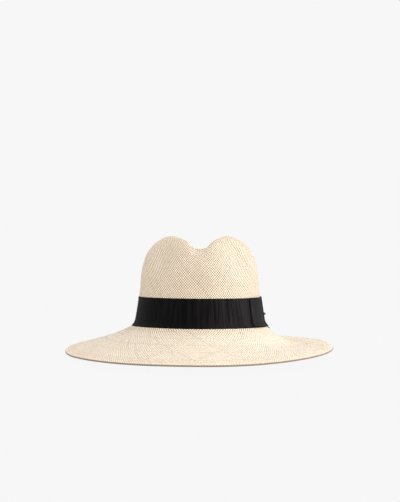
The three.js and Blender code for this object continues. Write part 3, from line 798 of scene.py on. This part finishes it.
def ribbon(name, points, widths, finish, replaced, thick=RIBBON, knot=False, ribbed=True):
    """A ribbon along a line of (travel, off) points. Travel is the distance round the crown and widths
    are heights up it, or the other way about for the knot."""
    line, run = rib_line(points)
    faces, uvs = ribbon_faces(run, widths)
    way = unit(np.gradient(line, axis=0))
    side = np.stack([-way[:, 1], way[:, 0]], 1)
    wave = np.cos(TAU * run / RIB) * ribbed
    half = thick / 2 + RIB_RISE * (wave - 1) / 2
    edge = np.zeros(len(widths))
    edge[0], edge[-1] = -1, 1
    rows, painted_light = [], []
    for face in (1, -1):
        place = line + side * half[:, None] * face
        width = (widths + SCALLOP * edge * (wave[:, None] - 1) / 2)[:, ::face]
        travel, off = place[:, :1], place[:, 1:]
        round_crown, up = (width, travel) if knot else (travel, width)
        rows.append(on_crown(round_crown, up, off))
        painted_light.append(np.broadcast_to(painted_light_share(round_crown, off), width.shape))
    uv, values = ("yarn", uvs), ("painted_light", np.concatenate(painted_light, 1))
    return add_piece(name, np.concatenate(rows, 1), faces, finish, replaced, uv, values)


def ring_line(off, start):
    """Once round the crown from a place where the two ends nearly meet."""
    along = np.linspace(start + JOINT_GAP, start + OVAL - JOINT_GAP, RING_POINTS)
    return np.stack([along, np.full(len(along), off)], 1)


BOW_FRONT, BOW_BACK = -66.0, 41.0
KNOT_FRONT, KNOT_BACK, KNOT_FLAP = -14.0, -2.0, 12.0
KNOT_SIDE = 1.0  # the loop is flat this far past the knot, and the knot from this far inside its folds
LOOP_RISE = 6.0
LOOP_START = KNOT_FRONT - 3.0
LOOP_RISEN = KNOT_BACK + 2 * LOOP_RISE
LOOP_END = LOOP_RISEN + 2.0
FRONT_PUFF, BACK_PUFF = 1.3, 0.3  # how far the folds of the loop stand up beyond lying flat
TAIL_START, TAIL_END, TAIL_DROP, TAIL_INSET = 1.0, 58.0, 3.0, 5.0


def folded(along, low, high, towards):
    """A half circle where the ribbon turns back, from the height low to high."""
    radius = (high - low) / 2
    angle = np.radians(np.linspace(-90, 90, FOLD_POINTS))
    return np.stack([along + towards * abs(radius) * np.cos(angle), low + radius + radius * np.sin(angle)], 1)


def flat_run(start, end, low, high):
    """A run of ribbon whose height changes smoothly from low to high."""
    share = np.linspace(0, 1, RUN_POINTS)
    return np.stack([start + (end - start) * share, low + (high - low) * smoothstep(0, 1, share)], 1)


def bow_loop(finish):
    """From under the knot to the front fold, back over the knot's place to the rear fold and in again."""
    front_top = LOOP_LEVEL + FRONT_PUFF
    back_top = KNOT_LEVEL + BACK_PUFF
    front_fold = BOW_FRONT + (front_top - TAIL_LEVEL) / 2 + RIBBON / 2
    back_fold = BOW_BACK - (back_top - LOOP_LEVEL) / 2 - RIBBON / 2
    flat_front, flat_back = KNOT_FRONT - KNOT_SIDE, KNOT_BACK + KNOT_SIDE
    line = [
        flat_run(LOOP_START, front_fold, TAIL_LEVEL, TAIL_LEVEL)[:-1],
        folded(front_fold, TAIL_LEVEL, front_top, -1),
        flat_run(front_fold, flat_front, front_top, LOOP_LEVEL)[1:],
        flat_run(flat_front, flat_back, LOOP_LEVEL, LOOP_LEVEL)[1:],
        flat_run(flat_back, LOOP_RISEN, LOOP_LEVEL, KNOT_LEVEL)[1:],
        flat_run(LOOP_RISEN, back_fold, KNOT_LEVEL, back_top)[1:-1],
        folded(back_fold, LOOP_LEVEL, back_top, 1)[::-1],
        flat_run(back_fold, LOOP_END, LOOP_LEVEL, LOOP_LEVEL)[1:],
    ]
    widths = up_steps(BAND_FOOT, BAND_TOP)
    return ribbon("loop_of_bow", np.concatenate(line), widths, finish, ["bow_loop"])


def bow_knot(finish):
    """A narrower ribbon wrapped up over the loop's middle and turned in behind it at both edges."""
    turned_in = np.array([BAND_FOOT + KNOT_FLAP, *FILLET_UPS[::-1]])
    front = up_steps(BAND_FOOT + KNOT_SIDE, BAND_TOP - KNOT_SIDE)
    line = [
        np.stack([turned_in, np.full(len(turned_in), TAIL_LEVEL)], 1),
        folded(BAND_FOOT, TAIL_LEVEL, KNOT_LEVEL, -1),
        np.stack([front, np.full(len(front), KNOT_LEVEL)], 1),
        folded(BAND_TOP, TAIL_LEVEL, KNOT_LEVEL, 1)[::-1],
        flat_run(BAND_TOP - KNOT_SIDE, BAND_TOP - KNOT_FLAP, TAIL_LEVEL, TAIL_LEVEL),
    ]
    line = np.concatenate(line)
    widths = np.linspace(KNOT_FRONT, KNOT_BACK, WIDTH_POINTS)
    return ribbon("knot_of_bow", line, widths, finish, ["bow_knot"], knot=True)


# ---- Threads and other round pieces ----

ROD_END = 0.55  # a rod's radius at its ends, as a share


def circle_round(way, sides):
    """A unit circle of points square to each way."""
    sideways = unit(np.cross(way, [0.0, 0.0, 1.0]))[..., None, :]
    upward = np.cross(sideways, way[..., None, :])
    angle = TAU * np.arange(sides)[:, None] / sides
    return sideways * np.cos(angle) + upward * np.sin(angle)


def round_faces(stations, sides, start=0):
    """The faces of a round solid, closed at both ends, whose points begin at start."""
    quads, _, _ = grid(stations, sides)
    last = start + (stations - 1) * sides
    ends = [list(range(start, start + sides))[::-1], list(range(last, last + sides))]
    return (quads + start).tolist() + ends


def rods(name, paths, radius, finish, replaced=(), sides=8):
    """Round rods of one radius along paths, an array of (count, stations, 3) points."""
    paths = np.asarray(paths, float)
    count, stations, _ = paths.shape
    taper = np.ones(stations)
    taper[0] = taper[-1] = ROD_END
    circles = circle_round(unit(np.gradient(paths, axis=1)), sides)
    points = paths[:, :, None] + radius * taper[:, None, None] * circles
    faces = []
    for rod in range(count):
        faces.extend(round_faces(stations, sides, rod * stations * sides))
    return add_piece(name, points, faces, finish, replaced)


STITCH_GAP, STITCH_STATIONS = 0.12, 6  # the gap between two stitches, as a share of a stitch


def arched(stations):
    """How far a thread stands up along a stitch, from 0 at both its ends to 1 at its middle."""
    return np.sqrt(np.sin(math.pi * np.linspace(0, 1, stations)))


def stitches(name, place, length, stitch, radius, finish, replaced=()):
    """A row of stitches. place(distance, share) is a point at a distance along the seam; share is how
    far the thread is lifted, from 0 where it goes in to 1 where it lies on top."""
    count = round(length / stitch)
    share = np.linspace(STITCH_GAP / 2, 1 - STITCH_GAP / 2, STITCH_STATIONS)
    along = (np.arange(count)[:, None] + share) * length / count
    lifted = np.broadcast_to(arched(STITCH_STATIONS), along.shape)
    return rods(name, place(along, lifted), radius, finish, replaced, sides=6)


HEM_STITCH, SWEATBAND_STITCH, THREAD_RADIUS = 4.0, 3.2, 0.2
THREAD_LIFT, THREAD_SINK = 0.3, 0.05
HEM_SEAM = RIM - BEAD - HEM + 2
HEM_SEAM_LENGTH = float(girth(HEM_SEAM))
UNDER_HEM = -2 * STRAW - HEM_SLIT
SWEATBAND_SEAM = SWEATBAND_FOOT + 1.5


def hem_seam(face, outward):
    """The place of the hem's stitches on a face of the straw; outward is 1 above and -1 below."""

    def place(along, lifted):
        off = face + outward * (THREAD_LIFT * lifted - THREAD_SINK)
        return on_straw(TAU * along / HEM_SEAM_LENGTH, HEM_SEAM, off)

    return place


def sweatband_seam(along, lifted):
    off = SWEATBAND_LEVEL - SWEATBAND / 2 - (THREAD_LIFT * lifted - THREAD_SINK)
    return on_crown(along + BACK + JOINT_GAP, SWEATBAND_SEAM, off)


PATCH_STITCH, PATCH_INSET, PATCH_THREAD = 2.2, 1.0, 0.14
PATCH_LIFT, PATCH_SINK = 0.22, 0.04


def patch_stitches(name, patch, finish):
    """Stitches along the upper edge of a flat patch inside the hat."""
    width, height, up, aside = patch
    start = BACK + aside - width / 2 + PATCH_INSET

    def place(along, lifted):
        off = PATCH_LEVEL - RIBBON / 2 - (PATCH_LIFT * lifted - PATCH_SINK)
        return on_crown(start + along, up + height / 2 - PATCH_INSET, off)

    length = width - 2 * PATCH_INSET
    return stitches(name, place, length, PATCH_STITCH, PATCH_THREAD, finish)


TACK_TURNS = {"front": 0.75, "wearer_right": 0.5, "back": 0.25}
TACK_ASIDE, TACK_HEIGHT, TACK_BELOW_EDGE = 0.22, 2.4, 2.0
TACK_THREAD, TACK_LIFT, TACK_STATIONS = 0.16, 0.25, 9


def band_tack(place, turn, finish):
    """Two short threads side by side over the band, near its upper edge."""
    middle = distance_at(turn)
    up = BAND_TOP - TACK_BELOW_EDGE + TACK_HEIGHT * np.linspace(-0.5, 0.5, TACK_STATIONS)
    off = BAND_LEVEL + RIBBON / 2 + TACK_LIFT * arched(TACK_STATIONS)
    paths = [on_crown(middle + aside, up, off) for aside in (-TACK_ASIDE, TACK_ASIDE)]
    name = "tack_" + place
    return rods(name, paths, TACK_THREAD, finish, ["band_" + name])


# ---- Stud, wire, patches ----

STUD_ALONG, STUD_UP, STUD_RADIUS, STUD_RISE = -8.0, 16.5, 1.9, 1.9
STUD_FLANGE, STUD_STEP, STUD_AIR = 0.3, 0.25, 0.05
POST_RADIUS = 0.5
WIRE_RADIUS, WIRE_POINTS = 0.3, 577


def turned(name, profile, along, up, finish, replaced, sides=40):
    """A lathe-turned piece with its axis along the straw's normal; profile is (radius, height)."""
    theta = angle_at(along)
    foot = on_straw(theta, CROWN - up, 0.0)
    axis = straw_normal(theta, CROWN - up)
    points = foot + profile[:, None, :1] * circle_round(axis, sides) + profile[:, None, 1:] * axis
    return add_piece(name, points, round_faces(len(profile), sides), finish, replaced)


def bow_stud(finish):
    """A post through the bow with a flat flange and a domed top."""
    low = KNOT_LEVEL + RIBBON / 2 + STUD_AIR
    high = low + STUD_FLANGE
    dome_radius = STUD_RADIUS - STUD_STEP
    angle = np.radians(np.linspace(0, 88, 14))
    dome = np.stack([dome_radius * np.cos(angle), high + (STUD_RISE - 0.1) * np.sin(angle)], 1)
    profile = [
        (POST_RADIUS, TAIL_LEVEL - RIBBON / 2),
        (POST_RADIUS, low),
        (STUD_RADIUS - 0.12, low),
        (STUD_RADIUS, low + 0.1),
        (STUD_RADIUS, high - 0.08),
        (STUD_RADIUS - 0.1, high),
        (dome_radius + 0.02, high + 0.01),
    ]
    line = np.concatenate([profile, dome])
    return turned("stud_of_bow", line, STUD_ALONG, STUD_UP, finish, ["bow_stud"])


def brim_wire(finish):
    """Once round the brim inside the hem, with its two ends at the back."""
    joint = math.pi
    end = JOINT_GAP / girth(RIM) * TAU
    theta = np.linspace(joint + end, joint + TAU - end, WIRE_POINTS)
    line = on_straw(theta, RIM - BEAD, -BEAD)
    return rods("wire_in_hem", [line], WIRE_RADIUS, finish, ["brim_wire"], sides=10)


# Each patch's width and height, the height of its middle above the crown's foot, and how far it is
# from the back's middle.
INNER_BOW = (22.0, 9.0, 18.0, 0.0)
SIZE_TAG = (14.0, 12.0, 19.0, 32.0)
CARE_TAG = (20.0, 30.0, 26.0, -34.0)


def inside_patch(name, patch, finish, replaced, ribbed):
    width, height, up, aside = patch
    middle = BACK + aside
    line = flat_run(middle - width / 2, middle + width / 2, PATCH_LEVEL, PATCH_LEVEL)
    widths = np.linspace(up - height / 2, up + height / 2, WIDTH_POINTS)
    return ribbon(name, line, widths, finish, replaced, ribbed=ribbed)


# ---- Building the hat ----

WEAVE_ROWS = WeaveRows()
FOOT_COUNT = float(np.interp(CROWN, WEAVE_ROWS.out[1:], WEAVE_ROWS.high))
STRAW_FINISH = straw_finish()
BLACK_RIBBON = grosgrain_finish()
BLACK_THREAD = thread_finish("black_thread", THREAD_BLACK)
STRAW_THREAD = thread_finish("straw_thread", THREAD_STRAW)
STEEL = metal_finish("galvanised_steel", STEEL_PALE, STEEL_DULL, 0.32)
DARK_BRASS = metal_finish("dark_brass", BRASS_BROWN, BRASS_DARK, 0.34)
SATIN = satin_finish()

straw_body(STRAW_FINISH)
band_widths = up_steps(BAND_FOOT, BAND_TOP)
band = ribbon("band", ring_line(BAND_LEVEL, 0.0), band_widths, BLACK_RIBBON, ["hat_band"])
tail_widths = up_steps(-TAIL_DROP, BAND_TOP - TAIL_INSET)
tail_line = flat_run(TAIL_START, TAIL_END, TAIL_LEVEL, TAIL_LEVEL)
tail = ribbon("tail_of_bow", tail_line, tail_widths, BLACK_RIBBON, ["bow_tail"])
loop = bow_loop(BLACK_RIBBON)
knot = bow_knot(BLACK_RIBBON)
bow_stud(DARK_BRASS)
for tack_place, tack_turn in TACK_TURNS.items():
    band_tack(tack_place, tack_turn, BLACK_THREAD)
brim_wire(STEEL)

sweat_widths = up_steps(SWEATBAND_FOOT, SWEATBAND_FOOT + SWEATBAND_WIDTH)
sweat_line = ring_line(SWEATBAND_LEVEL, BACK)
sweatband = ribbon(
    "inner_band", sweat_line, sweat_widths, BLACK_RIBBON, ["sweatband"], thick=SWEATBAND
)

for name, seam, replaced in (
    ("hem_stitches_above", hem_seam(0.0, 1), ["hem_needle_thread"]),
    ("hem_stitches_below", hem_seam(UNDER_HEM, -1), ["hem_bobbin_thread"]),
):
    stitches(name, seam, HEM_SEAM_LENGTH, HEM_STITCH, THREAD_RADIUS, STRAW_THREAD, replaced)
stitches(
    "sweatband_stitches", sweatband_seam, OVAL - 2 * JOINT_GAP, SWEATBAND_STITCH, THREAD_RADIUS,
    BLACK_THREAD, ["sweatband_thread"],
)

for node_name, metal in (("brim_wire_sleeve", STEEL), ("bow_stud_washer", DARK_BRASS)):
    materials = frame["nodes"][node_name].data.materials
    materials.clear()
    materials.append(metal)

inside_patch("inner_bow", INNER_BOW, BLACK_RIBBON, ["sweatband_bow"], True)
size_tag = inside_patch("size_tag", SIZE_TAG, SATIN, ["size_label"], False)
care_tag = inside_patch("care_tag", CARE_TAG, SATIN, ["care_label"], False)
patch_stitches("size_tag_stitches", SIZE_TAG, STRAW_THREAD)
patch_stitches("care_tag_stitches", CARE_TAG, STRAW_THREAD)

# ---- Camera, floor and light ----

CAMERA_DISTANCE, CAMERA_ELEVATION, CAMERA_PITCH, CAMERA_ROLL = 2.650, 7.560, 4.814, -0.34
CAMERA_ASIDE, CAMERA_TARGET = 0.12, 7.76  # the place that the camera circles, in millimetres
LENS = 147.68
BACKDROP, WORLD_LIGHT = 0.93, 0.92
FLOOR_RADIUS, FLOOR_WHITE, FLOOR_STEPS = 40.0, 0.8, 96
FLOOR_SHADED, FLOOR_SHADE_SEEN = 0.012, 0.01
SUN_SOFTNESS = 24
LOW_SUN_TINT = (0.97, 1.0, 1.04)


def camera():
    data = bpy.data.cameras.new("camera")
    data.lens = LENS
    data.clip_end = 100.0
    thing = add_object("camera", data)
    elevation, pitch = math.radians(CAMERA_ELEVATION), math.radians(CAMERA_PITCH)
    back, up = CAMERA_DISTANCE * math.cos(elevation), CAMERA_DISTANCE * math.sin(elevation)
    thing.location = (CAMERA_ASIDE * MM, -back, up + CAMERA_TARGET * MM)
    ahead = Vector((0, math.cos(pitch), -math.sin(pitch)))
    turn = ahead.to_track_quat("-Z", "Y")
    turn @= Quaternion((0, 0, 1), -math.radians(CAMERA_ROLL))
    thing.rotation_mode = "QUATERNION"
    thing.rotation_quaternion = turn
    bpy.context.scene.camera = thing


def seen_as(f, seen, lighting):
    """A number that is one for the camera and another for the light that is sent on."""
    camera_ray = f.node("LightPath", {}).outputs["Is Camera Ray"]
    return f.mix(camera_ray, lighting, seen)


def world():
    f = Finish("studio", bpy.data.worlds)
    inputs = {"Color": (1, 1, 1, 1), "Strength": seen_as(f, BACKDROP, WORLD_LIGHT)}
    background = f.node("Background", inputs)
    f.node("OutputWorld", {"Surface": background.outputs[0]})
    bpy.context.scene.world = f.block


def floor():
    """A wide pale disc that shows only a faint shadow close to the hat."""
    angle = TAU * np.arange(FLOOR_STEPS) / FLOOR_STEPS
    rim = np.stack([np.cos(angle), np.sin(angle), np.zeros(FLOOR_STEPS)], 1)
    mesh = bpy.data.meshes.new("floor")
    mesh.from_pydata((rim * FLOOR_RADIUS).tolist(), [], [list(range(FLOOR_STEPS))])
    f = Finish("floor")
    glow = f.node("Emission", {"Strength": seen_as(f, BACKDROP - FLOOR_SHADED, 0.0)})
    matt = f.node("BsdfDiffuse", {"Color": seen_as(f, FLOOR_SHADE_SEEN, FLOOR_WHITE)})
    both = f.node("AddShader", {0: glow.outputs[0], 1: matt.outputs[0]})
    f.node("OutputMaterial", {"Surface": both.outputs[0]})
    mesh.materials.append(f.block)
    add_object("floor", mesh)


def sun(name, azimuth, elevation, strength, colour=(1, 1, 1)):
    """A soft light from a direction; azimuth is 0 from the front and 90 from the right."""
    data = bpy.data.lights.new(name, "SUN")
    data.color = colour
    data.energy = strength
    data.angle = math.radians(SUN_SOFTNESS)
    thing = add_object(name, data)
    az, el = math.radians(azimuth), math.radians(elevation)
    source = Vector((math.sin(az) * math.cos(el), -math.cos(az) * math.cos(el), math.sin(el)))
    thing.rotation_mode = "QUATERNION"
    thing.rotation_quaternion = source.to_track_quat("Z", "Y")


camera()
world()
floor()
sun("front", 10, 48, 0.68)
sun("front_right", 70, 48, 0.45)
sun("right_low", 100, 15, 1.45, LOW_SUN_TINT)
bpy.context.scene.view_settings.view_transform = "Standard"

bpy.context.view_layer.update()
